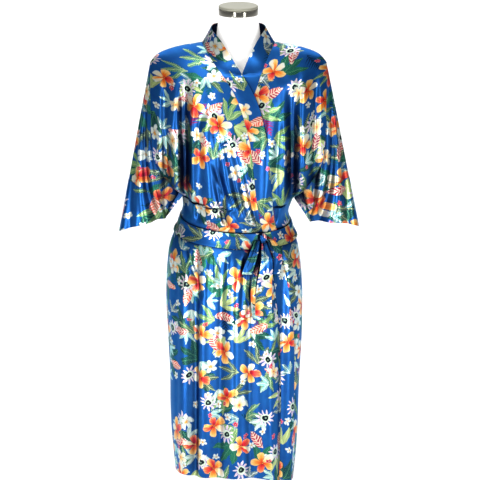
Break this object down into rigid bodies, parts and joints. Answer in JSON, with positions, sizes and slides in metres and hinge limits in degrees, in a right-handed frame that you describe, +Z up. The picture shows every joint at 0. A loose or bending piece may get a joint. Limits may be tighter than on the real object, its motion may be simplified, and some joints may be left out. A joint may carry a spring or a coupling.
{
  "type": "kimono robe on a dress form",
  "caption": "Calf-length wrap kimono robe in flower-printed blue satin, tied with a sash, worn by a limbless dress form with a metal neck cap, pole and round base.",
  "frame": {"origin": "the middle of the stand base's flat underside, on the floor under the form's neck", "axes": "+Z up along the pole to the neck cap, -Y out of the front of the robe, +X to the viewer's right (the wearer's left)"},
  "size_m": [0.6926, 0.34, 1.5693],
  "materials": {
    "satin": "printed satin, glossy",
    "satin_trim": "printed satin, doubled, glossy",
    "form_shell": "smooth matt white",
    "cap_metal": "polished nickel"
  },
  "bodies": {
    "root": {"back": "satin", "front_over": "satin", "front_under": "satin", "sleeve_left": "satin", "cuff_left": "satin", "sleeve_right": "satin", "cuff_right": "satin", "neckband": "satin_trim", "sash": "satin_trim", "sash_knot": "satin_trim", "sash_loop_left": "satin_trim", "sash_loop_right": "satin_trim", "sash_tail_front": "satin_trim", "sash_tail_back": "satin_trim", "form_torso": "form_shell", "stand_pole": "form_shell", "stand_base": "form_shell", "neck_cap": "cap_metal"}
  },
  "joints": []
}
